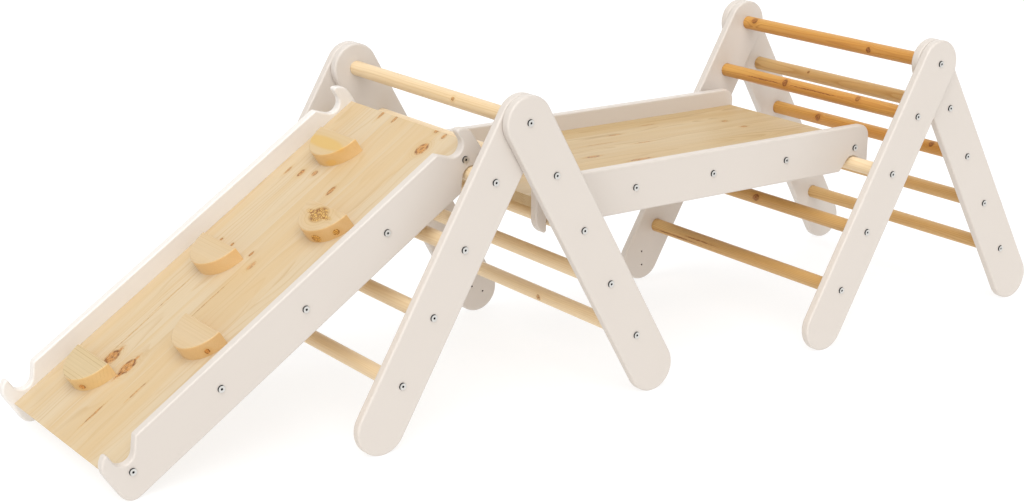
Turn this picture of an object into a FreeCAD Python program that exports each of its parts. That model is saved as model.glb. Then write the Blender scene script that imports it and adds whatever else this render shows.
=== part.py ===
"""Toddler climbing set: two folding climbing frames, a slide ramp with holds and a bridge ramp.

All lengths are in millimetres and all angles in degrees. +Z is up, +X runs along the set from the
slide's foot to the far frame, and the near side faces -Y. Frame A is the frame the slide hangs on,
frame B is the frame at the other end of the bridge.
"""
import FreeCAD, Part
import math
import os

V = FreeCAD.Vector

# ---- painted boards of the climbing frames
BOARD_THICKNESS = 18.0
LEG_WIDTH = 94.0
LEG_ANGLE = 30.0           # each ladder leans this far from the vertical when the frame is open
PIVOT_HEIGHT = 540.0       # axis of the top rung above the floor
FRAME_WIDTH = 598.0        # outer face to outer face of the outer boards
BOARD_GAP = 0.5            # running gap between the boards of the two ladders
BOARD_EDGE_ROUND = 4.0
PILOT_RADIUS = 2.0         # two small blind holes inside each foot
PILOT_DEPTH = 8.0
PILOT_ALONG = 13.0
PILOT_ACROSS = 8.0

# ---- rungs
RUNG_RADIUS = 14.0
RUNG_COUNT = 4
FIRST_RUNG = 115.0         # from the pivot, along the ladder
RUNG_PITCH = 125.0
RUNG_SEAT_DEPTH = 3.0      # shallow seat in each board
RUNG_SEAT_RADIUS = 14.3
RUNG_END_ROUND = 0.8

# ---- bolts and insert nuts
BOLT_RADIUS = 3.0
BOLT_HEAD_RADIUS = 6.5
BOLT_HEAD_HEIGHT = 2.5
BOLT_HEAD_ROUND = 1.0
HEX_ACROSS_FLATS = 4.0
HEX_DEPTH = 1.8
BOLT_LENGTH = 34.0
INSERT_RADIUS = 5.0
INSERT_LENGTH = 18.0
INSERT_CLEARANCE = 2.0     # drilled depth beyond the insert nut
PIVOT_BOLT_RADIUS = 4.0
PIVOT_BOLT_LENGTH = 54.0
PIVOT_INSERT_RADIUS = 6.0
PIVOT_RUNNING_FIT = 0.05   # radial clearance of a turning board on the pivot bolt

# ---- how the two frames stand
FRAME_SPACING = 991.0      # pivot to pivot
FRAME_B_SHIFT = -20.0      # frame B stands a little nearer the front

# ---- ramps: the slide and the bridge use the same rails
RAMP_WIDTH = 424.0
RAIL_THICKNESS = 18.0
RAIL_HEIGHT = 90.0
RAIL_EDGE_ROUND = 3.5
RAIL_BOLT_PITCH = 189.0
RAIL_BOLT_COUNT = 5
RAIL_OVERHANG = 38.0       # rail beyond the end bolt
PLAIN_CORNER_ROUND = 24.0
DECK_THICKNESS = 20.0
DECK_OVERHANG = 31.0       # deck beyond the end bolt
DECK_NOSE = 1.5            # upright edge left above the bevel at the slide's foot

# ---- hook notches, measured from the end bolt and from the rail's centre line
NOTCH_INSET = 5.5
NOTCH_LEVEL = 36.0
NOTCH_RADIUS = 19.5
NOTCH_MOUTH = 38.5         # where the sloping wall meets the rail's edge
TOOTH_CROWN_RADIUS = 29.5  # outside of the tooth, blending into the rail's end
TOOTH_CROWN_LEVEL = 26.0
TOOTH_TIP_ROUND = 4.5
MOUTH_ROUND = 5.0
RESTING_GAP = 0.3          # paint-thick gap between a rung and the notch resting on it
BRIDGE_RUNG_OFFSET = 3.0   # each rung sits this far outside the centre of the bridge's notch

# ---- climbing holds
HOLD_RADIUS = 60.0
HOLD_THICKNESS = 28.0
HOLD_EDGE_ROUND = 2.5
HOLD_COUNT = 5
HOLD_PITCH = 146.0
TOP_HOLD_FROM_BOLT = 61.0  # flat side of the top hold, down from the top bolt
HOLD_LEFT_Y = 90.0
HOLD_RIGHT_Y = -80.0
SCREW_RADIUS = 2.0
SCREW_HEAD_RADIUS = 4.0
SCREW_HEAD_HEIGHT = 2.4
SCREW_BITE = 12.0
SCREW_SPREAD = 28.0
SCREW_SETBACK = 22.0

HALF_WIDTH = FRAME_WIDTH / 2.0
LEG_HALF = LEG_WIDTH / 2.0
FOOT_DISTANCE = (PIVOT_HEIGHT - LEG_HALF) / math.cos(math.radians(LEG_ANGLE))
INNER_BOARD_FACE = HALF_WIDTH - 2.0 * BOARD_THICKNESS - BOARD_GAP
RAIL_BOLT_SPAN = RAIL_BOLT_PITCH * (RAIL_BOLT_COUNT - 1)
RAIL_HALF_LENGTH = RAIL_BOLT_SPAN / 2.0 + RAIL_OVERHANG
RAIL_HALF_HEIGHT = RAIL_HEIGHT / 2.0
DECK_HALF_LENGTH = RAIL_BOLT_SPAN / 2.0 + DECK_OVERHANG
DECK_TOP = DECK_THICKNESS / 2.0
DECK_HALF_WIDTH = RAMP_WIDTH / 2.0 - RAIL_THICKNESS
REST_OFFSET = NOTCH_RADIUS - RUNG_RADIUS - RESTING_GAP
ALONG_Y = V(0, 1, 0)


# ---------------------------------------------------------------- small helpers
def cylinder_y(radius, length, x, y, z):
    """Cylinder along +Y that starts at y."""
    return Part.makeCylinder(radius, length, V(x, y, z), ALONG_Y)


def edges_along_y(shape, x, z):
    """Straight edges of a plate that run along Y through the point (x, z)."""
    found = []
    for edge in shape.Edges:
        first = edge.Vertexes[0].Point
        last = edge.Vertexes[-1].Point
        runs_along_y = abs(first.x - last.x) < 1e-6 and abs(first.z - last.z) < 1e-6
        if runs_along_y and math.hypot(first.x - x, first.z - z) < 0.01:
            found.append(edge)
    return found


def round_face_outlines(plate, radius):
    """Round over both outlines of a plate that lies in the XZ plane."""
    low = plate.BoundBox.YMin
    high = plate.BoundBox.YMax
    outline = []
    for edge in plate.Edges:
        box = edge.BoundBox
        flat = box.YMax - box.YMin < 1e-4
        if flat and (abs(box.YMin - low) < 1e-4 or abs(box.YMax - high) < 1e-4):
            outline.append(edge)
    return plate.makeFillet(radius, outline)


def line(a, b):
    return Part.LineSegment(V(a[0], 0, a[1]), V(b[0], 0, b[1])).toShape()


def arc(a, middle, b):
    return Part.Arc(V(a[0], 0, a[1]), V(middle[0], 0, middle[1]), V(b[0], 0, b[1])).toShape()


def on_circle(centre, radius, angle):
    a = math.radians(angle)
    return (centre[0] + radius * math.cos(a), centre[1] + radius * math.sin(a))


# ---------------------------------------------------------------- fasteners
def bolt(radius, length, x, y, z, outward):
    """Low-head bolt with a hex socket; its head stands on the face at y and looks outward."""
    head = cylinder_y(BOLT_HEAD_RADIUS, BOLT_HEAD_HEIGHT, 0, 0, 0)
    crown = [e for e in head.Edges if e.BoundBox.YMin > BOLT_HEAD_HEIGHT - 1e-4]
    head = head.makeFillet(BOLT_HEAD_ROUND, crown)
    corners = []
    for i in range(7):
        p = on_circle((0.0, 0.0), HEX_ACROSS_FLATS / 2.0 / math.cos(math.radians(30)), 60.0 * i)
        corners.append(V(p[0], BOLT_HEAD_HEIGHT - HEX_DEPTH, p[1]))
    socket = Part.Face(Part.makePolygon(corners)).extrude(V(0, HEX_DEPTH + 1.0, 0))
    shank = Part.makeCylinder(radius, length, V(0, 0, 0), V(0, -1, 0))
    body = head.fuse(shank).removeSplitter().cut(socket)
    if outward < 0:
        body.rotate(V(0, 0, 0), V(0, 0, 1), 180)
    body.translate(V(x, y, z))
    return body


def insert_nut(radius, bolt_radius, x, y, z, outward):
    """Plain sleeve nut whose mouth is flush with the face at y."""
    start = y if outward < 0 else y - INSERT_LENGTH
    sleeve = cylinder_y(radius, INSERT_LENGTH, x, start, z)
    return sleeve.cut(cylinder_y(bolt_radius, INSERT_LENGTH, x, start, z))


def insert_hole(radius, x, y, z, outward):
    depth = INSERT_LENGTH + INSERT_CLEARANCE
    start = y if outward < 0 else y - depth
    return cylinder_y(radius, depth, x, start, z)


# ---------------------------------------------------------------- climbing frames
def rung_distances():
    return [FIRST_RUNG + RUNG_PITCH * i for i in range(RUNG_COUNT)]


def on_ladder(distance, side, across=0.0):
    """Point of a ladder, relative to the pivot: side is -1 for left, +1 for right."""
    a = math.radians(LEG_ANGLE)
    x = side * distance * math.sin(a) + across * math.cos(a)
    z = -distance * math.cos(a) + side * across * math.sin(a)
    return x, z


def board_layer(side, near, mirror):
    """Y range of a board. The two ladders are staggered by one board at each side."""
    right_in_front = mirror > 0
    is_outer = (side > 0) == (near == right_in_front)
    inner_face = HALF_WIDTH - BOARD_THICKNESS
    if not is_outer:
        inner_face = INNER_BOARD_FACE
    if near:
        return -inner_face - BOARD_THICKNESS, -inner_face
    return inner_face, inner_face + BOARD_THICKNESS


def leg_board(side, near, mirror, pivot_hole_radius):
    """Round-ended board with rung seats, bolt holes and the two pilot holes in the foot."""
    low, high = board_layer(side, near, mirror)
    head = cylinder_y(LEG_HALF, BOARD_THICKNESS, 0, low, 0)
    foot = cylinder_y(LEG_HALF, BOARD_THICKNESS, 0, low, -FOOT_DISTANCE)
    middle = Part.makeBox(LEG_WIDTH, BOARD_THICKNESS, FOOT_DISTANCE, V(-LEG_HALF, low, -FOOT_DISTANCE))
    board = head.fuse([foot, middle]).removeSplitter()
    board = round_face_outlines(board, BOARD_EDGE_ROUND)
    board.rotate(V(0, 0, 0), ALONG_Y, -side * LEG_ANGLE)
    cutters = [cylinder_y(pivot_hole_radius, BOARD_THICKNESS, 0, low, 0)]
    seat_start = high - RUNG_SEAT_DEPTH if near else low
    for d in rung_distances():
        x, z = on_ladder(d, side)
        cutters.append(cylinder_y(BOLT_RADIUS, BOARD_THICKNESS, x, low, z))
        cutters.append(cylinder_y(RUNG_SEAT_RADIUS, RUNG_SEAT_DEPTH, x, seat_start, z))
    pilot_start = high - PILOT_DEPTH if near else low
    for k in (-1, 1):
        x, z = on_ladder(FOOT_DISTANCE + k * PILOT_ALONG, side, k * PILOT_ACROSS)
        cutters.append(cylinder_y(PILOT_RADIUS, PILOT_DEPTH, x, pilot_start, z))
    return board.cut(cutters)


def rung(x, z, start, end, insert_radius):
    """Round rung along Y with a drilled hole for an insert nut at each end."""
    dowel = cylinder_y(RUNG_RADIUS, end - start, x, start, z)
    rims = [e for e in dowel.Edges if e.BoundBox.YMax - e.BoundBox.YMin < 1e-4]
    dowel = dowel.makeFillet(RUNG_END_ROUND, rims)
    near_hole = insert_hole(insert_radius, x, start, z, -1)
    far_hole = insert_hole(insert_radius, x, end, z, 1)
    return dowel.cut([near_hole, far_hole])


def ladder(prefix, side, mirror, turning):
    """One ladder: two boards, its rungs, their bolts and their insert nuts."""
    fit = PIVOT_RUNNING_FIT if turning else 0.0
    near_low, near_high = board_layer(side, True, mirror)
    far_low, far_high = board_layer(side, False, mirror)
    parts = {}
    parts[prefix + "_near_board"] = leg_board(side, True, mirror, PIVOT_BOLT_RADIUS + fit)
    parts[prefix + "_far_board"] = leg_board(side, False, mirror, PIVOT_BOLT_RADIUS + fit)
    start = near_high - RUNG_SEAT_DEPTH
    end = far_low + RUNG_SEAT_DEPTH
    bolts = []
    inserts = []
    for i, d in enumerate(rung_distances()):
        x, z = on_ladder(d, side)
        parts["%s_rung_%d" % (prefix, i + 1)] = rung(x, z, start, end, INSERT_RADIUS)
        bolts.append(bolt(BOLT_RADIUS, BOLT_LENGTH, x, near_low, z, -1))
        bolts.append(bolt(BOLT_RADIUS, BOLT_LENGTH, x, far_high, z, 1))
        inserts.append(insert_nut(INSERT_RADIUS, BOLT_RADIUS, x, start, z, -1))
        inserts.append(insert_nut(INSERT_RADIUS, BOLT_RADIUS, x, end, z, 1))
    parts[prefix + "_bolts"] = Part.makeCompound(bolts)
    parts[prefix + "_insert_nuts"] = Part.makeCompound(inserts)
    return parts


def top_rung(prefix):
    """Top rung with its two pivot bolts.

    In both frames the near inner board and the far outer board belong to the turning ladder, so
    the rung stands clear of the first and the far bolt's head stands clear of the second.
    """
    start = -INNER_BOARD_FACE + BOARD_GAP
    end = INNER_BOARD_FACE
    near_face = -HALF_WIDTH
    far_face = HALF_WIDTH + RESTING_GAP
    parts = {}
    parts[prefix + "_top_rung"] = rung(0, 0, start, end, PIVOT_INSERT_RADIUS)
    parts[prefix + "_pivot_bolts"] = Part.makeCompound([
        bolt(PIVOT_BOLT_RADIUS, PIVOT_BOLT_LENGTH, 0, near_face, 0, -1),
        bolt(PIVOT_BOLT_RADIUS, PIVOT_BOLT_LENGTH, 0, far_face, 0, 1)])
    parts[prefix + "_pivot_insert_nuts"] = Part.makeCompound([
        insert_nut(PIVOT_INSERT_RADIUS, PIVOT_BOLT_RADIUS, 0, start, 0, -1),
        insert_nut(PIVOT_INSERT_RADIUS, PIVOT_BOLT_RADIUS, 0, end, 0, 1)])
    return parts


def climbing_frame(name, mirror):
    """Both ladders and the top rung, with the pivot at the origin.

    mirror is +1 for frame A, whose right ladder is in front and doesn't turn, and -1 for frame B,
    whose left ladder is in front and doesn't turn.
    """
    parts = {}
    parts.update(ladder(name + "_right", 1, mirror, mirror < 0))
    parts.update(ladder(name + "_left", -1, mirror, mirror > 0))
    parts.update(top_rung(name))
    return parts


# ---------------------------------------------------------------- ramps
def notch_path(end, edge):
    """Outline pieces of one hook notch, and its two corners to be rounded.

    end is +1 or -1 along the rail, edge is +1 for the upper and -1 for the lower edge. The path
    runs from the mouth on the rail's edge to the foot of the tooth on the rail's end.
    """
    bolt_at = RAIL_BOLT_SPAN / 2.0
    centre = (-NOTCH_INSET, NOTCH_LEVEL)
    mouth = (-NOTCH_MOUTH, RAIL_HALF_HEIGHT)
    away = math.hypot(mouth[0] - centre[0], mouth[1] - centre[1])
    towards_mouth = math.degrees(math.atan2(mouth[1] - centre[1], mouth[0] - centre[0]))
    touch_angle = towards_mouth + math.degrees(math.acos(NOTCH_RADIUS / away))
    touch = on_circle(centre, NOTCH_RADIUS, touch_angle)
    deepest = on_circle(centre, NOTCH_RADIUS, 270.0)
    wall_foot = on_circle(centre, NOTCH_RADIUS, 0.0)
    crown_centre = (RAIL_OVERHANG - TOOTH_CROWN_RADIUS, TOOTH_CROWN_LEVEL)
    tip_x = wall_foot[0]
    tip_angle = math.degrees(math.acos((tip_x - crown_centre[0]) / TOOTH_CROWN_RADIUS))
    tip = on_circle(crown_centre, TOOTH_CROWN_RADIUS, tip_angle)
    crown = on_circle(crown_centre, TOOTH_CROWN_RADIUS, tip_angle / 2.0)
    shoulder = on_circle(crown_centre, TOOTH_CROWN_RADIUS, 0.0)

    def place(p):
        return (end * (bolt_at + p[0]), edge * p[1])

    pieces = [
        line(place(mouth), place(touch)),
        arc(place(touch), place(deepest), place(wall_foot)),
        line(place(wall_foot), place(tip)),
        arc(place(tip), place(crown), place(shoulder))]
    return pieces, place(mouth), place(tip), place(shoulder)


def rail():
    """Ramp rail: hook notches at both ends of the upper edge and at the top end of the lower edge."""
    upper_top, mouth_1, tip_1, shoulder_1 = notch_path(1, 1)
    lower_top, mouth_2, tip_2, shoulder_2 = notch_path(1, -1)
    upper_foot, mouth_3, tip_3, shoulder_3 = notch_path(-1, 1)
    plain = (-RAIL_HALF_LENGTH, -RAIL_HALF_HEIGHT)
    outline = upper_top + lower_top + upper_foot
    outline.append(line(mouth_3, mouth_1))
    outline.append(line(shoulder_1, shoulder_2))
    outline.append(line(mouth_2, plain))
    outline.append(line(plain, shoulder_3))
    wire = Part.Wire(Part.__sortEdges__(outline))
    plate = Part.Face(wire).extrude(V(0, RAIL_THICKNESS, 0))
    plate = plate.makeFillet(PLAIN_CORNER_ROUND, edges_along_y(plate, plain[0], plain[1]))
    for corner in (mouth_1, mouth_2, mouth_3):
        plate = plate.makeFillet(MOUTH_ROUND, edges_along_y(plate, corner[0], corner[1]))
    for corner in (tip_1, tip_2, tip_3):
        plate = plate.makeFillet(TOOTH_TIP_ROUND, edges_along_y(plate, corner[0], corner[1]))
    plate = round_face_outlines(plate, RAIL_EDGE_ROUND)
    holes = [cylinder_y(BOLT_RADIUS, RAIL_THICKNESS, u, 0, 0) for u in bolt_places()]
    return plate.cut(holes)


def bolt_places():
    return [RAIL_BOLT_PITCH * i - RAIL_BOLT_SPAN / 2.0 for i in range(RAIL_BOLT_COUNT)]


def deck(bevelled):
    """Panel between the rails, with insert-nut holes in its edges; the bevel is under the foot end."""
    panel = Part.makeBox(2.0 * DECK_HALF_LENGTH, 2.0 * DECK_HALF_WIDTH, DECK_THICKNESS,
                         V(-DECK_HALF_LENGTH, -DECK_HALF_WIDTH, -DECK_TOP))
    if bevelled:
        reach = DECK_THICKNESS - DECK_NOSE
        end = -DECK_HALF_LENGTH
        corners = [V(end, -DECK_HALF_WIDTH, -DECK_TOP), V(end + reach, -DECK_HALF_WIDTH, -DECK_TOP),
                   V(end, -DECK_HALF_WIDTH, -DECK_TOP + reach), V(end, -DECK_HALF_WIDTH, -DECK_TOP)]
        wedge = Part.Face(Part.makePolygon(corners)).extrude(V(0, 2.0 * DECK_HALF_WIDTH, 0))
        panel = panel.cut(wedge)
    holes = []
    for u in bolt_places():
        holes.append(insert_hole(INSERT_RADIUS, u, -DECK_HALF_WIDTH, 0, -1))
        holes.append(insert_hole(INSERT_RADIUS, u, DECK_HALF_WIDTH, 0, 1))
    return panel.cut(holes)


def ramp(name, bevelled):
    """Rails, deck, bolts and insert nuts in the ramp's own frame: X along it, Z across its deck."""
    outer = RAMP_WIDTH / 2.0
    near_rail = rail()
    near_rail.translate(V(0, -outer, 0))
    far_rail = rail()
    far_rail.translate(V(0, outer - RAIL_THICKNESS, 0))
    bolts = []
    inserts = []
    for u in bolt_places():
        bolts.append(bolt(BOLT_RADIUS, BOLT_LENGTH, u, -outer, 0, -1))
        bolts.append(bolt(BOLT_RADIUS, BOLT_LENGTH, u, outer, 0, 1))
        inserts.append(insert_nut(INSERT_RADIUS, BOLT_RADIUS, u, -DECK_HALF_WIDTH, 0, -1))
        inserts.append(insert_nut(INSERT_RADIUS, BOLT_RADIUS, u, DECK_HALF_WIDTH, 0, 1))
    return {
        name + "_near_rail": near_rail,
        name + "_far_rail": far_rail,
        name + "_deck": deck(bevelled),
        name + "_bolts": Part.makeCompound(bolts),
        name + "_insert_nuts": Part.makeCompound(inserts)}


def hold_places():
    """Flat-side centre of each hold, from the foot of the slide to the top."""
    places = []
    for i in range(HOLD_COUNT):
        u = RAIL_BOLT_SPAN / 2.0 - TOP_HOLD_FROM_BOLT - HOLD_PITCH * (HOLD_COUNT - 1 - i)
        places.append((u, HOLD_LEFT_Y if i % 2 == 0 else HOLD_RIGHT_Y))
    return places


def screw_places(u, y):
    return [(u - SCREW_SETBACK, y + k * SCREW_SPREAD) for k in (-1, 1)]


def hold(u, y):
    """Half disc with its flat side facing up the slide and a rounded-over top edge."""
    disc = Part.makeCylinder(HOLD_RADIUS, HOLD_THICKNESS, V(u, y, DECK_TOP), V(0, 0, 1))
    uphill = Part.makeBox(HOLD_RADIUS, 2.0 * HOLD_RADIUS, HOLD_THICKNESS, V(u, y - HOLD_RADIUS, DECK_TOP))
    half = disc.cut(uphill)
    top = DECK_TOP + HOLD_THICKNESS
    rims = [e for e in half.Edges if e.BoundBox.ZMin > top - 1e-4]
    half = half.makeFillet(HOLD_EDGE_ROUND, rims)
    pilots = [Part.makeCylinder(SCREW_RADIUS, SCREW_BITE, V(a, b, DECK_TOP)) for a, b in screw_places(u, y)]
    return half.cut(pilots)


def hold_screw(u, y):
    """Countersunk screw driven up through the deck into a hold."""
    cone = Part.makeCone(SCREW_HEAD_RADIUS, SCREW_RADIUS, SCREW_HEAD_HEIGHT, V(u, y, -DECK_TOP))
    shank = Part.makeCylinder(SCREW_RADIUS, DECK_THICKNESS + SCREW_BITE, V(u, y, -DECK_TOP))
    return cone.fuse(shank).removeSplitter()


def slide():
    """The ramp with five holds and the screws that fix them."""
    parts = ramp("slide", True)
    screws = []
    for i, (u, y) in enumerate(hold_places()):
        parts["slide_hold_%d" % (i + 1)] = hold(u, y)
        for a, b in screw_places(u, y):
            screws.append(hold_screw(a, b))
    screw_group = Part.makeCompound(screws)
    parts["slide_deck"] = parts["slide_deck"].cut(screws)
    parts["slide_hold_screws"] = screw_group
    return parts


# ---------------------------------------------------------------- placing everything
def slide_slope():
    """Slope at which the top notch rests on the first rung and the foot's corner on the floor."""
    rung_z = PIVOT_HEIGHT + on_ladder(FIRST_RUNG, -1)[1]
    notch = (RAIL_BOLT_SPAN / 2.0 - NOTCH_INSET, -NOTCH_LEVEL)
    corner = (-RAIL_HALF_LENGTH + PLAIN_CORNER_ROUND, -RAIL_HALF_HEIGHT + PLAIN_CORNER_ROUND)
    along = notch[0] - corner[0]
    across = notch[1] - corner[1]
    rise = rung_z - PLAIN_CORNER_ROUND - REST_OFFSET
    return math.degrees(math.asin(rise / math.hypot(along, across)) - math.atan2(across, along))


def place_slide(parts):
    slope = slide_slope()
    a = math.radians(slope)
    rung_x, rung_z = on_ladder(FIRST_RUNG, -1)
    u = RAIL_BOLT_SPAN / 2.0 - NOTCH_INSET
    n = -NOTCH_LEVEL
    x = rung_x - (u * math.cos(a) - n * math.sin(a))
    z = PIVOT_HEIGHT + rung_z - REST_OFFSET - (u * math.sin(a) + n * math.cos(a))
    for shape in parts.values():
        shape.rotate(V(0, 0, 0), ALONG_Y, -slope)
        shape.translate(V(x, 0, z))


def place_bridge(parts):
    """The bridge is the same ramp turned over, end for end, level on the second rungs."""
    drop = math.sqrt(REST_OFFSET ** 2 - BRIDGE_RUNG_OFFSET ** 2)
    rung_z = PIVOT_HEIGHT + on_ladder(FIRST_RUNG + RUNG_PITCH, 1)[1]
    for shape in parts.values():
        shape.rotate(V(0, 0, 0), ALONG_Y, 180)
        shape.translate(V(FRAME_SPACING / 2.0, 0, rung_z - drop + NOTCH_LEVEL))


def build():
    frame_a = climbing_frame("a", 1)
    for shape in frame_a.values():
        shape.translate(V(0, 0, PIVOT_HEIGHT))
    frame_b = climbing_frame("b", -1)
    for shape in frame_b.values():
        shape.translate(V(FRAME_SPACING, FRAME_B_SHIFT, PIVOT_HEIGHT))
    slide_parts = slide()
    place_slide(slide_parts)
    bridge_parts = ramp("bridge", False)
    place_bridge(bridge_parts)
    parts = {}
    for group in (frame_a, frame_b, slide_parts, bridge_parts):
        parts.update(group)
    return parts


def centre_on_floor(parts):
    """Move the whole set so that the middle of its footprint is the origin."""
    box = Part.makeCompound(list(parts.values())).BoundBox
    shift = V(-(box.XMin + box.XMax) / 2.0, -(box.YMin + box.YMax) / 2.0, 0)
    for shape in parts.values():
        shape.translate(shift)
    return shift


os.makedirs("parts", exist_ok=True)
all_parts = build()
moved = centre_on_floor(all_parts)
for node, shape in all_parts.items():
    shape.exportStep("parts/" + node + ".step")
print("frame A pivot at x %.3f y %.3f" % (moved.x, moved.y))
print("slide slope %.4f degrees" % slide_slope())
print("nodes %d" % len(all_parts))
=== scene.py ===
"""Looks of the toddler climbing set: painted boards, pine rungs, decks and holds, steel bolts.

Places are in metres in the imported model's frame. Wood is worked out in each piece's own
coordinates: X along the grain, Y across the face, Z through it. Colours are linear.
"""
import math
import bpy
from mathutils import Matrix, Vector


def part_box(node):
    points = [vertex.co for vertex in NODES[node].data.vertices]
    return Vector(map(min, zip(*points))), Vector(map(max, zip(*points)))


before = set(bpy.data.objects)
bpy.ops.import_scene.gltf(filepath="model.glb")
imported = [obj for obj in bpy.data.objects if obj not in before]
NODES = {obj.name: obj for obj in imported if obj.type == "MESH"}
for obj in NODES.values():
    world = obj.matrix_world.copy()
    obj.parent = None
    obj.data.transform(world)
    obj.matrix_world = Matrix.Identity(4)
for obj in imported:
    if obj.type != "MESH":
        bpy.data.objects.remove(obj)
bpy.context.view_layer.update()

# The ramps
SLIDE_SLOPE = math.radians(33.656)
DECK_TOP = 0.010           # deck surface above the middle of the ramp
RAIL_BOLT_PITCH = 0.189
RAIL_BOLTS_EACH_WAY = 2    # from a rail's middle bolt

# The bolts and boards
SOCKET_REACH = 0.0025      # the hex socket of a bolt head
SOCKET_DEPTH = 0.0021
SKIN = 0.0001              # a face this near the outside counts as part of it
LEG_ANGLE = math.radians(30)
HOLE_REACH = 0.015         # a board's holes stay this near its middle line
RUNGS_PER_LADDER = 4

# The knots
BIG_KNOT = 0.0125          # half width from which a knot's outline is very ragged
TAILED_KNOT = 0.014        # half length from which it runs out into the grain
SMALL_KNOT = 0.003         # half width up to which the grain runs straight past it
RAGGED_SCALE = 190.0       # how fine a knot's ragged outline is
ROUGH = 0.004              # range over which the outline of a knot wanders
VERY_ROUGH = 0.009         # and that of a big one
FAR_AWAY = 9.0             # distance from the nearest knot before any is measured

# The edge-glued strips of the decks
STAVE_WIDTH = 0.078
STAVE_SHIFT = 0.028        # where the first glue line lies
STAVE_ALONG = 5.0          # how far apart in the log two strips may come from, along it,
STAVE_SIDEWAYS = 0.07      # across it
STAVE_DEPTH = 0.05         # and through it
STAVE_LEAST_DEPTH = 0.015
GLUE_FROM = 0.494          # the glue line, in strip widths from a strip's middle
GLUE_TO = 0.499

# The growth rings
RING_PEAK = 0.93           # part of a year's growth at which its wood is darkest
RUNG_PITH = 0.034          # how far a rung's axis lies from the middle of its log
RUNG_PITH_TURN = 2.4       # each rung is turned this much further round its log, in radians
RUNG_SPACING = 1.7         # and comes from this much further along it
HOLD_SPACING = 0.9         # the same for the holds
HOLD_PITH_DEPTH = -0.05    # the middle of a hold's log, below the hold
WOOD_ROUGHNESS = 0.36

# How fine each pattern in the wood is, along X, Y and Z of the piece
SWAY_SCALE = (2.2, 9.0, 9.0)
RIPPLE_SCALE = (14.0, 60.0, 60.0)
FIBRE_SCALE = (9.0, 900.0, 900.0)
PATCH_SCALE = (2.5, 26.0, 26.0)
FLECK_SCALE = (38.0, 1500.0, 1500.0)
BUNCH_ALONG = 1.1          # across the grain, each wood has its own
BLOTCH_SCALE = (210.0, 300.0, 300.0)
BROKEN_RIM_SCALE = (95.0, 130.0, 130.0)
CRACK_SCALE = (240.0, 640.0, 640.0)
PETAL_SCALE = 210.0

# Places of a Mix node's colour sockets, which share their names with its other sockets
MIX_FIRST = 6
MIX_SECOND = 7
MIX_RESULT = 2


# ---------------------------------------------------------------- node helpers
def link_or_set(tree, socket, value):
    """Links a node's output to a socket, or sets the socket to a plain value."""
    if isinstance(value, bpy.types.NodeSocket):
        tree.links.new(value, socket)
    else:
        socket.default_value = value


def calc(tree, operation, *values):
    node = tree.nodes.new("ShaderNodeMath")
    node.operation = operation
    for socket, value in zip(node.inputs, values):
        link_or_set(tree, socket, value)
    return node.outputs[0]


def vector(tree, operation, *values):
    node = tree.nodes.new("ShaderNodeVectorMath")
    node.operation = operation
    if operation == "SCALE":
        link_or_set(tree, node.inputs[0], values[0])
        link_or_set(tree, node.inputs["Scale"], values[1])
        return node.outputs[0]
    for socket, value in zip(node.inputs, values):
        link_or_set(tree, socket, value)
    return node.outputs["Value"] if operation in ("LENGTH", "DOT_PRODUCT") else node.outputs[0]


def noise(tree, place, stretch, detail=2.0, roughness=0.5):
    """Noise from 0 to 1, with a different scale along each axis."""
    node = tree.nodes.new("ShaderNodeTexNoise")
    node.inputs["Scale"].default_value = 1.0
    node.inputs["Detail"].default_value = detail
    node.inputs["Roughness"].default_value = roughness
    tree.links.new(vector(tree, "MULTIPLY", place, stretch), node.inputs["Vector"])
    return node.outputs["Fac"]


def ramp_value(tree, value, low, high, to_low=0.0, to_high=1.0):
    """Goes smoothly from one value to another as the input goes from low to high."""
    node = tree.nodes.new("ShaderNodeMapRange")
    node.interpolation_type = "SMOOTHSTEP"
    link_or_set(tree, node.inputs["Value"], value)
    for name, number in (("From Min", low), ("From Max", high), ("To Min", to_low), ("To Max", to_high)):
        node.inputs[name].default_value = number
    return node.outputs["Result"]


def blend_colour(tree, factor, first, second, mode="MIX"):
    node = tree.nodes.new("ShaderNodeMix")
    node.data_type = "RGBA"
    node.blend_type = mode
    link_or_set(tree, node.inputs["Factor"], factor)
    for place, value in ((MIX_FIRST, first), (MIX_SECOND, second)):
        colour = value if isinstance(value, bpy.types.NodeSocket) else (*value, 1.0)
        link_or_set(tree, node.inputs[place], colour)
    return node.outputs[MIX_RESULT]


def split(tree, place):
    node = tree.nodes.new("ShaderNodeSeparateXYZ")
    tree.links.new(place, node.inputs[0])
    return node.outputs


def join(tree, x, y, z):
    node = tree.nodes.new("ShaderNodeCombineXYZ")
    for socket, value in zip(node.inputs, (x, y, z)):
        link_or_set(tree, socket, value)
    return node.outputs[0]


def new_material(name):
    material = bpy.data.materials.new(name)
    material.use_nodes = True
    tree = material.node_tree
    return material, tree, tree.nodes["Principled BSDF"]


def add_bump(tree, shader, height, strength, distance):
    bump = tree.nodes.new("ShaderNodeBump")
    bump.inputs["Strength"].default_value = strength
    bump.inputs["Distance"].default_value = distance
    tree.links.new(height, bump.inputs["Height"])
    tree.links.new(bump.outputs["Normal"], shader.inputs["Normal"])


def piece_place(tree, origin, along, across):
    """The piece's own coordinates, from where the surface is at rest."""
    x = Vector(along).normalized()
    z = x.cross(Vector(across)).normalized()
    y = z.cross(x)
    turn = Matrix((x, y, z)).transposed().to_euler()
    coordinates = tree.nodes.new("ShaderNodeTexCoord")
    mapping = tree.nodes.new("ShaderNodeMapping")
    mapping.vector_type = "TEXTURE"
    mapping.inputs["Location"].default_value = origin
    mapping.inputs["Rotation"].default_value = turn
    tree.links.new(coordinates.outputs["Object"], mapping.inputs["Vector"])
    return mapping.outputs["Vector"]


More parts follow.
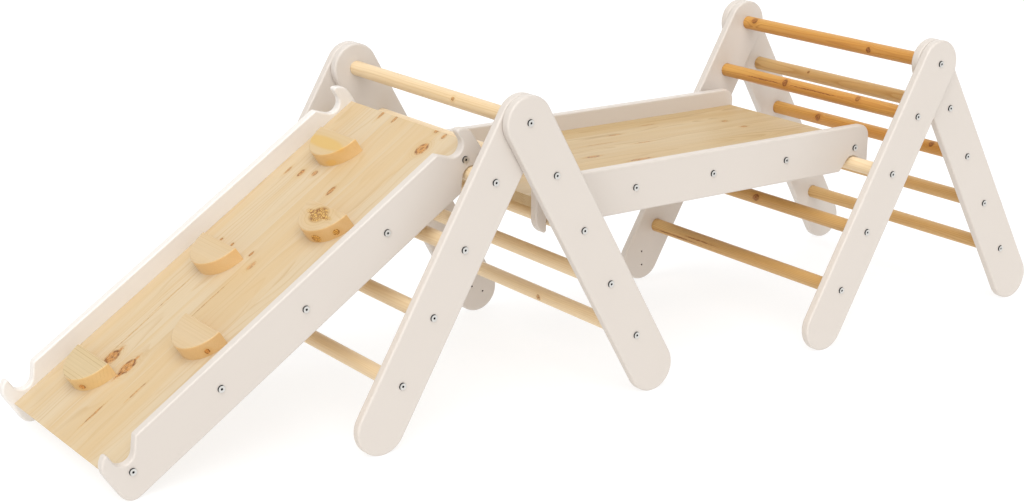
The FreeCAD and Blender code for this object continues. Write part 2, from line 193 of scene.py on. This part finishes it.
# ---------------------------------------------------------------- wood
def knots_in(tree, place, knots, ragged):
    """Bends the grain round each knot; gives the warped place, the knots' strength and their distance.

    A knot is (centre, half length, half width, strength). Distance is 1 on a knot's outline.
    Big knots have a ragged outline or a clean one; the smaller ones are always a little rough.
    """
    wander = tree.nodes.new("ShaderNodeTexNoise")
    wander.inputs["Scale"].default_value = RAGGED_SCALE
    wander.inputs["Detail"].default_value = 3.0
    wander.inputs["Roughness"].default_value = 0.6
    tree.links.new(vector(tree, "MULTIPLY", place, (0.6, 1.0, 1.0)), wander.inputs["Vector"])
    shift = vector(tree, "SUBTRACT", wander.outputs["Color"], (0.5, 0.5, 0.5))
    very_rough = vector(tree, "ADD", place, vector(tree, "SCALE", shift, VERY_ROUGH))
    rough = vector(tree, "ADD", place, vector(tree, "SCALE", shift, ROUGH))
    big_outline = very_rough if ragged else place
    shade = 0.0
    nearest = FAR_AWAY
    warped = place
    for centre, half_length, half_width, strength in knots:
        outline = big_outline if half_width > BIG_KNOT else rough
        offset = vector(tree, "SUBTRACT", outline, centre)
        scaled = vector(tree, "MULTIPLY", offset, (1 / half_length, 1 / half_width, 1 / half_width))
        distance = vector(tree, "LENGTH", scaled)
        nearest = calc(tree, "MINIMUM", nearest, distance)
        spread = distance
        if half_length > TAILED_KNOT:
            tail = vector(tree, "LENGTH", vector(tree, "MULTIPLY", scaled, (0.5, 2.1, 2.1)))
            spread = calc(tree, "MINIMUM", distance, calc(tree, "ADD", tail, 0.15))
        shade = calc(tree, "MAXIMUM", shade, ramp_value(tree, spread, 0.75, 1.25, strength, 0.0))
        if half_width > SMALL_KNOT:
            pull = ramp_value(tree, distance, 0.4, 3.6, 0.85, 0.0)
            sideways = vector(tree, "MULTIPLY", offset, (0.0, 1.0, 1.0))
            warped = vector(tree, "SUBTRACT", warped, vector(tree, "SCALE", sideways, pull))
    return warped, shade, nearest


def petal_lines(tree, place):
    """Dark lines between the petals of a burl."""
    cells = tree.nodes.new("ShaderNodeTexVoronoi")
    cells.feature = "DISTANCE_TO_EDGE"
    cells.inputs["Scale"].default_value = PETAL_SCALE
    tree.links.new(place, cells.inputs["Vector"])
    return ramp_value(tree, cells.outputs["Distance"], 0.02, 0.13, 1.0, 0.0)


def colour_knots(tree, place, colour, shade, distance, finish):
    """Tints the wood round the knots, fills them, and darkens broken rims, hearts and cracks."""
    halo = ramp_value(tree, distance, 1.0, 2.6, 0.55, 0.0)
    colour = blend_colour(tree, halo, colour, finish["warm"])
    if finish["inside"] == "plain":
        return blend_colour(tree, shade, colour, finish["fill"])
    swirl = calc(tree, "FRACT", calc(tree, "MULTIPLY", distance, 2.6))
    swirl_line = ramp_value(tree, swirl, 0.7, 0.95)
    swirl_reach = ramp_value(tree, distance, 1.1, 2.5, 0.5, 0.0)
    colour = blend_colour(tree, calc(tree, "MULTIPLY", swirl_line, swirl_reach), colour, finish["late"])
    blotch = ramp_value(tree, noise(tree, place, BLOTCH_SCALE, 2.0), 0.3, 0.62, 0.5, 1.0)
    colour = blend_colour(tree, calc(tree, "MULTIPLY", shade, blotch), colour, finish["fill"])
    rim_inside = ramp_value(tree, distance, 0.5, 0.9)
    rim_outside = ramp_value(tree, distance, 0.95, 1.2, 1.0, 0.0)
    rim = calc(tree, "MULTIPLY", rim_inside, rim_outside)
    broken = ramp_value(tree, noise(tree, place, BROKEN_RIM_SCALE, 2.0), 0.42, 0.56)
    if finish["inside"] == "petals":
        lines = petal_lines(tree, place)
    else:
        lines = ramp_value(tree, noise(tree, place, CRACK_SCALE, 3.0, 0.65), 0.54, 0.64)
    heart = ramp_value(tree, distance, 0.0, 0.35, 0.7, 0.0)
    rim_and_heart = calc(tree, "MAXIMUM", calc(tree, "MULTIPLY", rim, broken), heart)
    dark = calc(tree, "MAXIMUM", rim_and_heart, lines)
    return blend_colour(tree, calc(tree, "MULTIPLY", dark, shade), colour, finish["knot"])


def in_staves(tree, place, seed):
    """Moves each glued strip of a panel to its own part of the log; gives its tone and glue lines."""
    x, y, z = split(tree, place)
    count = calc(tree, "DIVIDE", calc(tree, "ADD", y, STAVE_SHIFT), STAVE_WIDTH)
    strip = calc(tree, "FLOOR", count)
    white = tree.nodes.new("ShaderNodeTexWhiteNoise")
    white.noise_dimensions = "1D"
    tree.links.new(calc(tree, "ADD", strip, seed), white.inputs["W"])
    draws = tree.nodes.new("ShaderNodeSeparateColor")
    tree.links.new(white.outputs["Color"], draws.inputs[0])
    middle = calc(tree, "MULTIPLY", calc(tree, "ADD", strip, 0.5), STAVE_WIDTH)
    local_y = calc(tree, "SUBTRACT", calc(tree, "ADD", y, STAVE_SHIFT), middle)
    sideways = calc(tree, "MULTIPLY_ADD", draws.outputs[1], STAVE_SIDEWAYS, -STAVE_SIDEWAYS / 2)
    local_y = calc(tree, "ADD", local_y, sideways)
    shallowest = calc(tree, "ADD", z, STAVE_LEAST_DEPTH)
    local_z = calc(tree, "MULTIPLY_ADD", draws.outputs[2], STAVE_DEPTH, shallowest)
    local_x = calc(tree, "MULTIPLY_ADD", draws.outputs[0], STAVE_ALONG, x)
    from_middle = calc(tree, "ABSOLUTE", calc(tree, "SUBTRACT", calc(tree, "FRACT", count), 0.5))
    glue = ramp_value(tree, from_middle, GLUE_FROM, GLUE_TO)
    return join(tree, local_x, local_y, local_z), draws.outputs[0], glue


def growth_rings(tree, log, finish):
    """Dark latewood lines, 0 to 1, round the middle of the log."""
    sway = noise(tree, log, SWAY_SCALE, 2.0)
    ripple = noise(tree, log, RIPPLE_SCALE, 1.0)
    _, y, z = split(tree, log)
    squares = calc(tree, "ADD", calc(tree, "MULTIPLY", y, y), calc(tree, "MULTIPLY", z, z))
    radius = calc(tree, "SQRT", squares)
    radius = calc(tree, "MULTIPLY_ADD", sway, finish["sway"], radius)
    radius = calc(tree, "MULTIPLY_ADD", ripple, finish["sway"] * 0.08, radius)
    year = calc(tree, "FRACT", calc(tree, "DIVIDE", radius, finish["ring"]))
    rise = ramp_value(tree, year, finish["line"], RING_PEAK)
    fall = ramp_value(tree, year, RING_PEAK, 1.0, 1.0, 0.0)
    return calc(tree, "MULTIPLY", rise, fall)


def away_from(tree, direction):
    """1 on faces that look another way than a direction, 0 on those that look along it."""
    normal = tree.nodes.new("ShaderNodeTexCoord").outputs["Normal"]
    facing = vector(tree, "DOT_PRODUCT", normal, direction)
    return ramp_value(tree, facing, 0.35, 0.9, 1.0, 0.0)


def pine(name, origin, along, across, pith, finish, knots=(), staves=None, side_colour_and_light=None):
    """Clear-coated pine with growth rings, fibres, tone changes and knots.

    A side colour, part end-grain tint and part painted light, colours the faces that don't look along the
    piece's own Z.
    """
    material, tree, shader = new_material(name)
    place = piece_place(tree, origin, along, across)
    warped = place
    if knots:
        warped, knot_shade, knot_distance = knots_in(tree, place, knots, finish["inside"] == "cracks")
    tone = 0.5
    glue = None
    if staves is not None:
        warped, tone, glue = in_staves(tree, warped, staves)
    latewood = growth_rings(tree, vector(tree, "SUBTRACT", warped, pith), finish)
    fibre = noise(tree, warped, FIBRE_SCALE, 3.0, 0.6)
    patch = noise(tree, warped, PATCH_SCALE, 2.0)
    flecks = ramp_value(tree, noise(tree, warped, FLECK_SCALE, 1.0), 0.66, 0.8)
    bands = noise(tree, warped, (BUNCH_ALONG, finish["bunch"], finish["bunch"]), 1.0)
    strength = calc(tree, "MULTIPLY", latewood, ramp_value(tree, bands, 0.34, 0.68, 0.18, 1.0))
    if side_colour_and_light is not None:
        on_side = away_from(tree, Vector(along).cross(Vector(across)).normalized())
        strength = calc(tree, "MULTIPLY", strength, calc(tree, "MULTIPLY_ADD", on_side, -0.7, 1.0))
    line_strength = calc(tree, "MULTIPLY", strength, finish["contrast"])
    colour = blend_colour(tree, line_strength, finish["pale"], finish["late"])
    warmth = calc(tree, "ADD", patch, calc(tree, "MULTIPLY", tone, 0.25))
    warm = ramp_value(tree, warmth, 0.42, 0.82, 0.0, finish["patchy"])
    colour = blend_colour(tree, warm, colour, finish["warm"])
    grey = calc(tree, "MULTIPLY_ADD", fibre, 0.22, 0.89)
    colour = blend_colour(tree, 1.0, colour, join(tree, grey, grey, grey), "MULTIPLY")
    colour = blend_colour(tree, calc(tree, "MULTIPLY", flecks, 0.16), colour, finish["knot"])
    if glue is not None:
        colour = blend_colour(tree, calc(tree, "MULTIPLY", glue, 0.35), colour, finish["late"])
    if knots:
        colour = colour_knots(tree, place, colour, knot_shade, knot_distance, finish)
    # the sides' end-grain colour and painted light
    if side_colour_and_light is not None:
        colour = blend_colour(tree, on_side, colour, side_colour_and_light, "MULTIPLY")
    tree.links.new(colour, shader.inputs["Base Color"])
    tree.links.new(calc(tree, "MULTIPLY_ADD", fibre, 0.16, WOOD_ROUGHNESS), shader.inputs["Roughness"])
    shader.inputs["Specular IOR Level"].default_value = 0.25
    shader.inputs["Coat Weight"].default_value = 0.06
    shader.inputs["Coat Roughness"].default_value = 0.3
    height = calc(tree, "MULTIPLY_ADD", latewood, 0.5, calc(tree, "MULTIPLY", fibre, 0.6))
    if knots:
        height = calc(tree, "SUBTRACT", height, calc(tree, "MULTIPLY", knot_shade, 0.4))
    add_bump(tree, shader, height, 0.35, 0.00025)
    return material


def finish_of(pale, warm, late, knot=(0.140, 0.042, 0.010), fill=(0.540, 0.250, 0.062), contrast=0.8,
              ring=0.0032, line=0.35, sway=0.02, patchy=0.5, inside="cracks", bunch=42.0):
    """A wood's look: colours of its pale, warm and late wood, of a knot's cracks and its filling.

    Ring is a year's growth, and line is the part of it where the dark wood begins. Sway is how far
    the rings wander, patchy how strong the warm patches are, and bunch how finely the dark lines
    come and go. Inside a knot there are cracks, petals, or only a plain tint.
    """
    return {"pale": pale, "warm": warm, "late": late, "knot": knot, "fill": fill, "contrast": contrast,
            "ring": ring, "line": line, "sway": sway, "patchy": patchy, "inside": inside, "bunch": bunch}


# ---------------------------------------------------------------- paint and metal
CLOUD_SCALE = (5.0, 5.0, 5.0)
HANDLING_SCALE = (60.0, 60.0, 22.0)
PEEL_SCALE = (700.0, 700.0, 700.0)
PAINTED_GRAIN_SCALE = (120.0, 120.0, 14.0)
PLATING_SCALE = (420.0, 420.0, 420.0)
HANDLING_MARKS = (0.60, 0.52, 0.45)
# A painted reflection for the bolt heads: near-black on their faces turned to this side
PAINTED_REFLECTION_COLOUR = (0.05, 0.05, 0.05)
PAINTED_REFLECTION_SIDE = (-0.8, 0.0, 0.6)
# Scales of the turning marks, by the way a fastener points
TURNED_ROUND_Y = (900.0, 60.0, 900.0)
TURNED_ROUND_Z = (900.0, 900.0, 60.0)
UNTURNED = (300.0, 300.0, 300.0)


def white_paint(name, bright, dull):
    """Warm white satin paint over a solid pine board: faint grain, fine orange peel, handling marks."""
    material, tree, shader = new_material(name)
    coordinates = tree.nodes.new("ShaderNodeTexCoord").outputs["Object"]
    cloud = noise(tree, coordinates, CLOUD_SCALE, 3.0)
    colour = blend_colour(tree, cloud, bright, dull)
    marks = ramp_value(tree, noise(tree, coordinates, HANDLING_SCALE, 4.0, 0.7), 0.62, 0.8)
    colour = blend_colour(tree, calc(tree, "MULTIPLY", marks, 0.10), colour, HANDLING_MARKS)
    tree.links.new(colour, shader.inputs["Base Color"])
    peel = noise(tree, coordinates, PEEL_SCALE, 2.0)
    grain = noise(tree, coordinates, PAINTED_GRAIN_SCALE, 3.0)
    tree.links.new(calc(tree, "MULTIPLY_ADD", cloud, 0.12, 0.38), shader.inputs["Roughness"])
    shader.inputs["Specular IOR Level"].default_value = 0.45
    shader.inputs["Coat Weight"].default_value = 0.10
    shader.inputs["Coat Roughness"].default_value = 0.25
    add_bump(tree, shader, calc(tree, "MULTIPLY_ADD", grain, 1.2, peel), 0.22, 0.0002)
    return material


def worn_finish(name, colour, rough, brush, painted_reflection_side=None, metal=1.0):
    """Zinc-plated steel with uneven plating and fine turning marks, or raw wood where metal is 0.

    On faces turned to the given side, a painted reflection darkens the steel as if it mirrored a dark
    studio wall.
    """
    material, tree, shader = new_material(name)
    coordinates = tree.nodes.new("ShaderNodeTexCoord").outputs["Object"]
    plating = noise(tree, coordinates, PLATING_SCALE, 3.0)
    marks = noise(tree, coordinates, brush, 2.0)
    darker = tuple(channel * 0.78 for channel in colour)
    colour = blend_colour(tree, plating, colour, darker)
    # painted reflection of a dark wall
    if painted_reflection_side is not None:
        normal = tree.nodes.new("ShaderNodeTexCoord").outputs["Normal"]
        facing = vector(tree, "DOT_PRODUCT", normal, painted_reflection_side)
        colour = blend_colour(tree, ramp_value(tree, facing, 0.0, 0.22), colour, PAINTED_REFLECTION_COLOUR)
    tree.links.new(colour, shader.inputs["Base Color"])
    shader.inputs["Metallic"].default_value = metal
    tree.links.new(calc(tree, "MULTIPLY_ADD", marks, 0.22, rough), shader.inputs["Roughness"])
    add_bump(tree, shader, marks, 0.3, 0.00008)
    return material


def paint_node(name, material):
    """Gives a CAD node its finish."""
    mesh = NODES[name].data
    mesh.materials.clear()
    mesh.materials.append(material)


def centre_of(name):
    low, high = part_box(name)
    return (low + high) / 2


def bolt_axes(name):
    """A point on the axis of each pair of bolts in a node."""
    if "pivot" in name:
        return [centre_of(name)]
    if name.startswith(("a_", "b_")):
        ladder = name.replace("_bolts", "")
        return [centre_of("%s_rung_%d" % (ladder, number)) for number in range(1, RUNGS_PER_LADDER + 1)]
    slope = SLIDE_SLOPE if name.startswith("slide") else 0.0
    direction = Vector((math.cos(slope), 0, math.sin(slope)))
    steps = range(-RAIL_BOLTS_EACH_WAY, RAIL_BOLTS_EACH_WAY + 1)
    return [centre_of(name) + direction * RAIL_BOLT_PITCH * step for step in steps]


def dress_bolts(name, head, socket):
    """Steel heads, with near-black painted shade in their hex sockets."""
    mesh = NODES[name].data
    paint_node(name, head)
    mesh.materials.append(socket)
    low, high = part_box(name)
    axes = bolt_axes(name)
    for face in mesh.polygons:
        at = face.center
        depth = min(at.y - low.y, high.y - at.y)
        away = min(math.hypot(at.x - axis.x, at.z - axis.z) for axis in axes)
        if away < SOCKET_REACH and SKIN < depth < SOCKET_DEPTH:
            face.material_index = 1


def dress_board(name, paint, unpainted_in_shade):
    """Paint all over; unpainted wood in the holes along the board's middle, made near-black there as
    painted shade.
    """
    mesh = NODES[name].data
    paint_node(name, paint)
    mesh.materials.append(unpainted_in_shade)
    low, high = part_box(name)
    middle = (low + high) / 2
    size = high - low
    lean = LEG_ANGLE if "_left_" in name else -LEG_ANGLE
    between_centres = (size.z - size.x) / (math.cos(LEG_ANGLE) - math.sin(LEG_ANGLE))
    reach = between_centres / 2 + HOLE_REACH
    for face in mesh.polygons:
        at = face.center - middle
        across = at.x * math.cos(lean) - at.z * math.sin(lean)
        along = at.x * math.sin(lean) + at.z * math.cos(lean)
        if abs(across) < HOLE_REACH and abs(along) < reach and abs(at.y) < size.y / 2 - SKIN:
            face.material_index = 1


# ---------------------------------------------------------------- the wood's looks
DECK_WOOD = finish_of(
    pale=(0.600, 0.478, 0.315), warm=(0.580, 0.415, 0.220), late=(0.455, 0.280, 0.115),
    contrast=0.50, ring=0.0075, line=0.60, sway=0.045, patchy=0.75)
BRIDGE_WOOD = finish_of(
    pale=(0.545, 0.410, 0.232), warm=(0.500, 0.335, 0.145), late=(0.340, 0.205, 0.082),
    contrast=0.75, ring=0.0026, sway=0.024, patchy=0.6)
HOLD_WOOD = finish_of(
    pale=(0.590, 0.450, 0.280), warm=(0.560, 0.385, 0.185), late=(0.440, 0.270, 0.110),
    contrast=0.22, ring=0.0050, line=0.6, sway=0.010, patchy=0.4)
LINED_HOLD = finish_of(
    pale=(0.570, 0.445, 0.265), warm=(0.540, 0.390, 0.190), late=(0.250, 0.130, 0.045),
    contrast=1.0, ring=0.0062, line=0.84, sway=0.005, patchy=0.4, bunch=85.0)
BURL_HOLD = finish_of(
    pale=(0.590, 0.450, 0.280), warm=(0.560, 0.385, 0.185), late=(0.440, 0.270, 0.110),
    knot=(0.210, 0.075, 0.016), fill=(0.640, 0.390, 0.100),
    contrast=0.3, ring=0.006, line=0.6, sway=0.01, inside="petals")
GOLDEN_HOLD = finish_of(
    pale=(0.590, 0.450, 0.275), warm=(0.560, 0.390, 0.180), late=(0.440, 0.260, 0.095),
    knot=(0.500, 0.290, 0.080), fill=(0.590, 0.385, 0.125),
    contrast=0.34, ring=0.006, line=0.6, sway=0.01, inside="plain")
PALE_RUNG = finish_of(
    pale=(0.760, 0.590, 0.375), warm=(0.700, 0.495, 0.255), late=(0.520, 0.320, 0.135),
    contrast=0.50, ring=0.0030, sway=0.018)
# A paler copy of the rung wood: painted light for rungs that lie in shade under the ramps
RUNG_PAINTED_LIGHT = finish_of(
    pale=(0.840, 0.680, 0.460), warm=(0.780, 0.580, 0.330), late=(0.600, 0.390, 0.180),
    contrast=0.45, ring=0.0034, sway=0.018)
ORANGE_RUNG = finish_of(
    pale=(0.610, 0.325, 0.082), warm=(0.550, 0.245, 0.050), late=(0.330, 0.120, 0.022),
    knot=(0.130, 0.036, 0.008), fill=(0.290, 0.100, 0.025), contrast=0.80, ring=0.0028, patchy=0.7)
TAN_RUNG = finish_of(
    pale=(0.600, 0.390, 0.165), warm=(0.560, 0.315, 0.105), late=(0.380, 0.185, 0.050),
    fill=(0.320, 0.125, 0.035), contrast=0.75, ring=0.0030, patchy=0.6)
# Hold sides: lighter and more orange, part end-grain colour and part painted light from the deck's warm
# bounce
HOLD_SIDE_COLOUR_AND_LIGHT = (1.22, 1.08, 0.86)    # tint of all of a hold but its top


def on_deck(along, across, half_length, half_width, strength=0.9):
    """A knot on a deck, in millimetres from the deck's middle."""
    return ((along / 1000, across / 1000, DECK_TOP), half_length / 1000, half_width / 1000, strength)


def near_hold(number, uphill, across, half_length, half_width, strength=0.9):
    """A knot on the slide's deck, in millimetres uphill and to the far side of a hold's middle."""
    offset = (centre_of("slide_hold_%d" % number) - centre_of("slide_bolts")) * 1000
    along = offset.x * math.cos(SLIDE_SLOPE) + offset.z * math.sin(SLIDE_SLOPE)
    return on_deck(along + uphill, offset.y + across, half_length, half_width, strength)


# Places are in steps of 5 mm, where the photo shows a knot near that hold.
SLIDE_KNOTS = [
    near_hold(1, 50, -5, 16, 14, 1.0),
    near_hold(1, 50, -65, 18, 13, 1.0),
    near_hold(1, -45, -105, 20, 2.4),
    near_hold(1, 25, -145, 18, 2.0, 0.7),
    near_hold(1, 105, 10, 42, 1.2, 0.6),
    near_hold(2, 80, 85, 42, 1.2, 0.6),
    near_hold(2, 55, 185, 36, 1.2, 0.6),
    near_hold(3, 45, 45, 3.5, 3, 1.0),
    near_hold(3, 45, 5, 4, 3, 1.0),
    near_hold(3, 45, -65, 6, 3, 1.0),
    near_hold(3, 25, -95, 11, 5.5, 0.6),
    near_hold(4, 75, 80, 12, 5),
    near_hold(4, 85, 200, 9, 5.5),
    near_hold(4, 95, 165, 7, 6, 0.7),
    near_hold(4, 80, 240, 11, 3, 0.7),
    near_hold(5, 75, -195, 14, 12, 1.0),
    near_hold(5, 115, -10, 12, 3.4),
    near_hold(5, 115, -55, 9, 3.2),
    near_hold(5, 120, -185, 5, 5),
    near_hold(5, 115, -215, 6, 4)]
BRIDGE_KNOTS = [
    on_deck(15, 105, 16, 2.6),
    on_deck(25, 25, 20, 2.4),
    on_deck(-60, 60, 34, 2.0, 0.6),
    on_deck(-135, -15, 15, 5),
    on_deck(-70, -80, 22, 5),
    on_deck(290, 20, 8, 5),
    on_deck(290, 80, 7, 5, 0.8),
    on_deck(130, 140, 16, 3, 0.6)]


def on_rung(y, height=0.004, side=-0.013, half_length=6.0, half_width=5.5, strength=0.9):
    """A knot on a rung, y metres from its middle; height and side, in metres too, are from its axis.

    Half length and half width are in millimetres, as on a deck.
    """
    return ((-y, side, height), half_length / 1000, half_width / 1000, strength)


RUNG_KNOTS = {
    "a_top_rung": [on_rung(-0.085, half_length=4, half_width=4)],
    "a_right_rung_4": [on_rung(-0.010, -0.002, -0.014, 6, 5)],
    "a_left_rung_4": [on_rung(0.030, 0.010, -0.009, 14, 3, 0.6)],
    "a_right_rung_2": [on_rung(-0.200, 0.002, -0.014, 22, 2.5, 0.7)],
    "b_top_rung": [on_rung(0.230, 0.010, -0.010, 8, 7), on_rung(-0.115, 0.000, -0.014, 6, 6)],
    "b_right_rung_1": [on_rung(0.105, 0.008, -0.011, 3, 3, 1.0)],
    "b_left_rung_1": [
        on_rung(0.075, 0.006, -0.012, 7, 8),
        on_rung(-0.135, 0.010, -0.010, 6, 6, 0.7),
        on_rung(0.140, 0.002, -0.014, 46, 1.2),
        on_rung(-0.010, 0.004, -0.013, 60, 1.2)],
    "b_right_rung_2": [on_rung(0.130, half_length=7, half_width=8), on_rung(-0.200, 0.010, -0.010, 6, 6)],
    "b_left_rung_3": [on_rung(0.015, half_length=9, half_width=7)],
    "b_left_rung_4": [on_rung(0.190, -0.004, -0.013, 60, 2.0), on_rung(0.120, 0.004, -0.013, 40, 1.4, 0.8)],
    "b_right_rung_3": [on_rung(-0.060, half_length=8, half_width=6)]}


# From the foot of the slide to the top: wood, how far to the side its log's pith lies, knots.
# A knot's centre is (to the near side, uphill, out of the deck).
HOLDS = [
    (LINED_HOLD, 0.15, [
        ((0.028, -0.023, -0.004), 0.008, 0.005, 0.9)]),
    (HOLD_WOOD, 0.10, [
        ((0.050, -0.003, -0.004), 0.004, 0.005, 1.0)]),
    (HOLD_WOOD, -0.05, []),
    (BURL_HOLD, 0.05, [
        ((0.000, 0.008, 0.014), 0.021, 0.017, 1.0),
        ((0.021, -0.026, -0.004), 0.010, 0.008, 1.0),
        ((0.052, 0.000, -0.003), 0.006, 0.006, 1.0)]),
    (GOLDEN_HOLD, -0.08, [
        ((-0.004, 0.000, 0.016), 0.060, 0.013, 0.95),
        ((0.030, -0.022, -0.006), 0.024, 0.006, 0.7)])]
ORANGE_RUNGS = ("b_top_rung", "b_left_rung_1", "b_right_rung_2")


# ---------------------------------------------------------------- finishes on every node
ALONG_SET = (1, 0, 0)
TO_NEAR_SIDE = (0, -1, 0)
TO_FAR_SIDE = (0, 1, 0)
DECK_PITH = (0, 0, 0)      # a deck's strips each lie elsewhere in the log, so it needs no other place
SLIDE_STAVES = 3.0         # seeds of the strips' own places
BRIDGE_STAVES = 11.0


def wood_of_rung(name):
    if name == "a_top_rung":
        return PALE_RUNG
    if name in ORANGE_RUNGS:
        return ORANGE_RUNG
    # rungs below the top of frame A, and one of frame B, take the copy with painted light
    if name.startswith("a_") or name == "b_left_rung_2":
        return RUNG_PAINTED_LIGHT
    return TAN_RUNG


def dress_rungs():
    for number, name in enumerate(sorted(node for node in NODES if "rung" in node)):
        turn = RUNG_PITH_TURN * number
        pith = (RUNG_SPACING * number, RUNG_PITH * math.cos(turn), RUNG_PITH * math.sin(turn))
        material = pine("pine_" + name, centre_of(name), TO_NEAR_SIDE, ALONG_SET, pith,
                        wood_of_rung(name), RUNG_KNOTS.get(name, ()))
        paint_node(name, material)


def dress_slide():
    uphill = (math.cos(SLIDE_SLOPE), 0, math.sin(SLIDE_SLOPE))
    deck = pine("pine_slide_deck", centre_of("slide_bolts"), uphill, TO_FAR_SIDE, DECK_PITH,
                DECK_WOOD, SLIDE_KNOTS, SLIDE_STAVES)
    paint_node("slide_deck", deck)
    for number, (wood, pith_side, knots) in enumerate(HOLDS, 1):
        name = "slide_hold_%d" % number
        pith = (HOLD_SPACING * number, pith_side, HOLD_PITH_DEPTH)
        hold = pine("pine_" + name, centre_of(name), TO_NEAR_SIDE, uphill, pith, wood, knots,
                    side_colour_and_light=HOLD_SIDE_COLOUR_AND_LIGHT)
        paint_node(name, hold)


def dress_bridge():
    deck = pine("pine_bridge_deck", centre_of("bridge_bolts"), ALONG_SET, TO_FAR_SIDE, DECK_PITH,
                BRIDGE_WOOD, BRIDGE_KNOTS, BRIDGE_STAVES)
    paint_node("bridge_deck", deck)


def dress_all():
    dress_rungs()
    dress_slide()
    dress_bridge()
    paint = white_paint("white_paint", (0.640, 0.583, 0.528), (0.615, 0.556, 0.500))
    # The slide's far rail gets a brighter, cooler copy of the white paint: painted light
    brighter_paint_painted_light = white_paint("far_rail_paint", (0.760, 0.722, 0.680), (0.735, 0.693, 0.648))
    # Unpainted wood in the boards' holes, darkened to near-black as painted shade
    hole_wood_painted_shade = worn_finish("bare_wood", (0.10, 0.06, 0.04), 0.6, UNTURNED, metal=0.0)
    # Bolt heads: steel with a painted reflection of a dark wall on one side
    steel_with_painted_reflection = worn_finish("bolt_steel", (0.76, 0.75, 0.72), 0.30, TURNED_ROUND_Y, PAINTED_REFLECTION_SIDE)
    # Hex sockets: near-black painted shade in the recess
    socket_steel = worn_finish("socket_steel", (0.055, 0.055, 0.058), 0.5, TURNED_ROUND_Y)
    nut_steel = worn_finish("plated_nut", (0.66, 0.60, 0.46), 0.34, TURNED_ROUND_Y)
    screw_steel = worn_finish("screw_steel", (0.55, 0.54, 0.52), 0.30, TURNED_ROUND_Z)
    for name in NODES:
        if "board" in name:
            dress_board(name, paint, hole_wood_painted_shade)
        elif "rail" in name:
            paint_node(name, brighter_paint_painted_light if name == "slide_far_rail" else paint)
        elif "insert" in name:
            paint_node(name, nut_steel)
        elif name.endswith("screws"):
            paint_node(name, screw_steel)
        elif name.endswith("bolts"):
            dress_bolts(name, steel_with_painted_reflection, socket_steel)


# ---------------------------------------------------------------- studio
SENSOR_WIDTH = 36.0        # millimetres, like the lens
LENS = 67.64
CAMERA_AT = (-2.1621, -2.8277, 1.2612)
CAMERA_AZIMUTH = math.radians(-36.97)
CAMERA_TILT = math.radians(14.46)
CAMERA_ROLL = math.radians(0.92)
SHIFT_X = -0.0329          # in parts of the picture's width
SHIFT_Y = -0.0725
VIEW_DISTANCE = 60
FLOOR_REACH = 30.0
FLOOR_GLOW = 0.76          # keeps the photo's even white behind the set


def add_camera():
    """A camera where the photo was taken from, by a fit to the photo."""
    forward = Vector((-math.sin(CAMERA_AZIMUTH) * math.cos(CAMERA_TILT),
                      math.cos(CAMERA_AZIMUTH) * math.cos(CAMERA_TILT), -math.sin(CAMERA_TILT)))
    level = Vector((math.cos(CAMERA_AZIMUTH), math.sin(CAMERA_AZIMUTH), 0))
    upward = level.cross(forward)
    right = math.cos(CAMERA_ROLL) * level + math.sin(CAMERA_ROLL) * upward
    up = -math.sin(CAMERA_ROLL) * level + math.cos(CAMERA_ROLL) * upward
    axes = Matrix((right, up, -forward)).transposed().to_4x4()
    data = bpy.data.cameras.new("camera")
    data.sensor_width = SENSOR_WIDTH
    data.lens = LENS
    data.shift_x = SHIFT_X
    data.shift_y = SHIFT_Y
    data.clip_end = VIEW_DISTANCE
    camera = bpy.data.objects.new("camera", data)
    camera.matrix_world = Matrix.Translation(CAMERA_AT) @ axes
    bpy.context.scene.collection.objects.link(camera)
    bpy.context.scene.camera = camera


def add_floor():
    reach = FLOOR_REACH
    corners = [(-reach, -reach, 0), (reach, -reach, 0), (reach, reach, 0), (-reach, reach, 0)]
    mesh = bpy.data.meshes.new("floor")
    mesh.from_pydata(corners, [], [(0, 1, 2, 3)])
    floor = bpy.data.objects.new("floor", mesh)
    bpy.context.scene.collection.objects.link(floor)
    material, tree, shader = new_material("floor")
    place = tree.nodes.new("ShaderNodeTexCoord").outputs["Object"]
    cloud = noise(tree, place, (1.2, 1.2, 1.2), 3.0)
    colour = blend_colour(tree, cloud, (0.31, 0.31, 0.31), (0.29, 0.29, 0.29))
    tree.links.new(colour, shader.inputs["Base Color"])
    shader.inputs["Roughness"].default_value = 0.9
    shader.inputs["Specular IOR Level"].default_value = 0.1
    shader.inputs["Emission Color"].default_value = (1.0, 1.0, 1.0, 1.0)
    shader.inputs["Emission Strength"].default_value = FLOOR_GLOW
    mesh.materials.append(material)


def add_soft_sun(name, direction_to, strength, spread):
    """A very wide sun, as even over the whole set as a large softbox."""
    data = bpy.data.lights.new(name, "SUN")
    data.energy = strength
    data.angle = math.radians(spread)
    light = bpy.data.objects.new(name, data)
    light.matrix_world = Vector(direction_to).to_track_quat("Z", "Y").to_matrix().to_4x4()
    bpy.context.scene.collection.objects.link(light)


def add_world(strength):
    world = bpy.data.worlds.new("studio")
    world.use_nodes = True
    background = world.node_tree.nodes["Background"]
    background.inputs["Color"].default_value = (1.0, 1.0, 1.0, 1.0)
    background.inputs["Strength"].default_value = strength
    bpy.context.scene.world = world


dress_all()
add_camera()
add_floor()
add_world(strength=0.5)
add_soft_sun("overhead", (-0.35, -0.25, 0.90), strength=2.0, spread=70.0)
add_soft_sun("front", (-0.45, -0.80, 0.40), strength=1.1, spread=60.0)
add_soft_sun("back", (0.50, 0.75, 0.45), strength=0.55, spread=60.0)
bpy.context.scene.view_settings.view_transform = "Standard"
